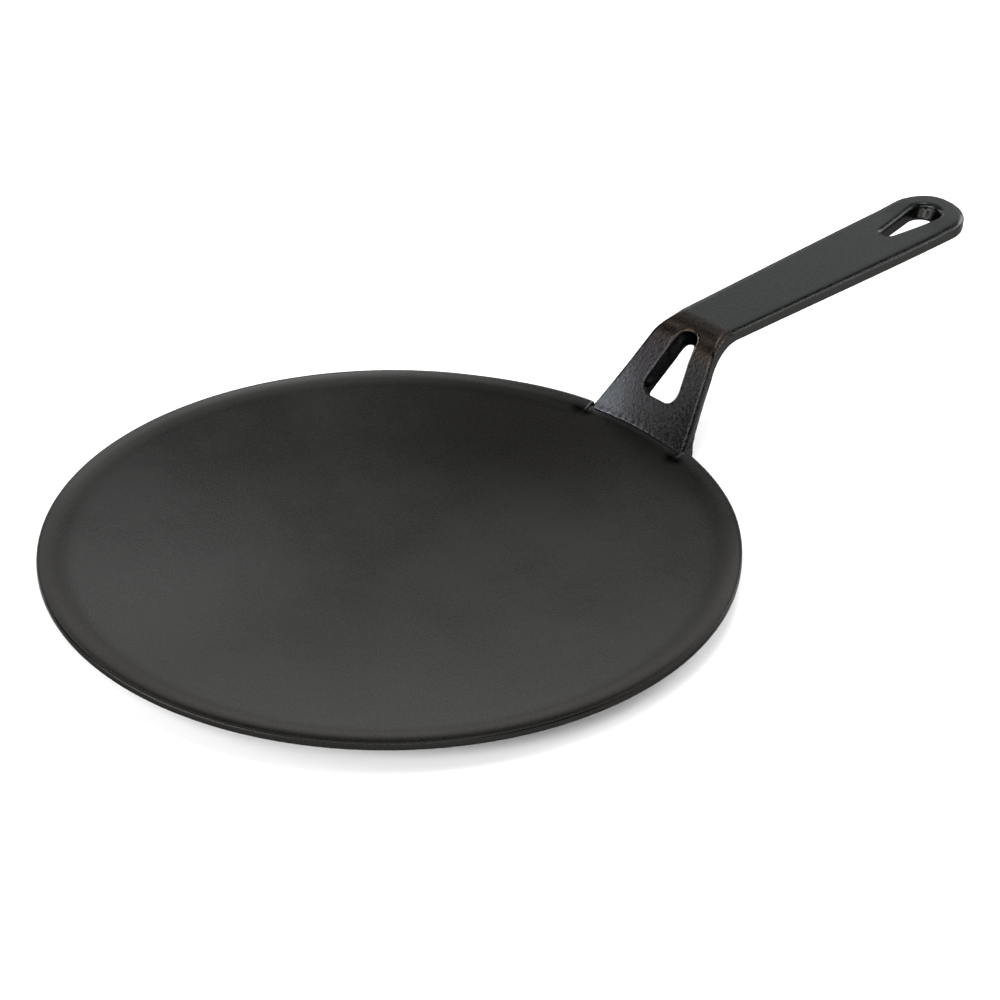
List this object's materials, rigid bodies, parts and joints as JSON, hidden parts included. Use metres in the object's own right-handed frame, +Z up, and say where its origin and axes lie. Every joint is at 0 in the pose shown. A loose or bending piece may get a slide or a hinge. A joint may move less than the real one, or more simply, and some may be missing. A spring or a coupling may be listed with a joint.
{
  "type": "tawa griddle pan",
  "caption": "Shallow round cast-iron tawa with a low upturned lip and a raised cast handle that has a window in its riser and a teardrop hang hole.",
  "frame": {"origin": "centre of the round plate's flat base, on the surface that the tawa stands on", "axes": "+X from the plate's centre along the handle to the hang hole, +Z up out of the cooking surface, Y = 0 is the plane of symmetry"},
  "size_m": [0.438, 0.26, 0.0517],
  "materials": {
    "turned_iron": "turned smooth and oiled, matte dark grey with a fine grain",
    "cast_iron_skin": "as cast and seasoned, near black with a fine speckled skin and a dull gloss"
  },
  "bodies": {
    "root": {"griddle_plate": "turned_iron", "handle": "cast_iron_skin"}
  },
  "joints": []
}
